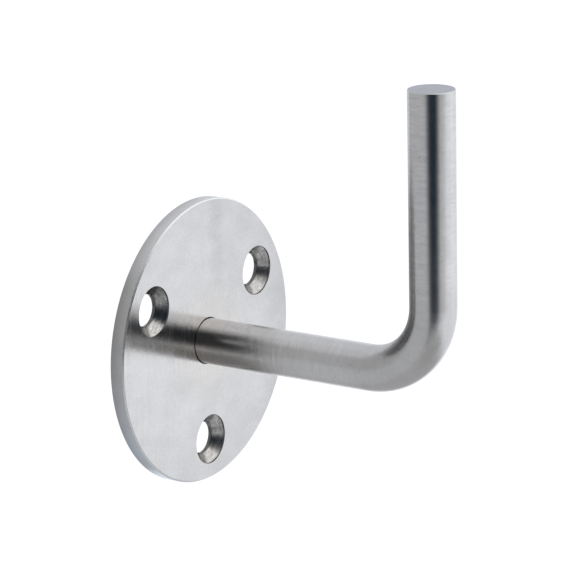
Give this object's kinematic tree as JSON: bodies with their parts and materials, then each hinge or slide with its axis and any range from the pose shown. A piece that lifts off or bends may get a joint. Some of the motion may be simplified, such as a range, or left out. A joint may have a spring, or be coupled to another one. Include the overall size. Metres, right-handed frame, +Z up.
{
  "type": "handrail bracket",
  "caption": "Wall bracket for a handrail: a round screw-fixed plate with a solid round bar that comes straight out, turns up and ends in a flat cut face.",
  "frame": {"origin": "centre of the plate's back face, on the wall", "axes": "+Z up along the upright, +Y into the wall, the bar leaves along -Y, +X to the right when facing the wall"},
  "size_m": [0.075, 0.0785, 0.111],
  "materials": {
    "plate_steel": "fine satin ground",
    "bar_steel": "satin, polished in rings round the bar",
    "weld_steel": "ground flush"
  },
  "bodies": {
    "root": {"base_plate": "plate_steel", "support_bar": "bar_steel", "rear_weld": "weld_steel"}
  },
  "joints": []
}
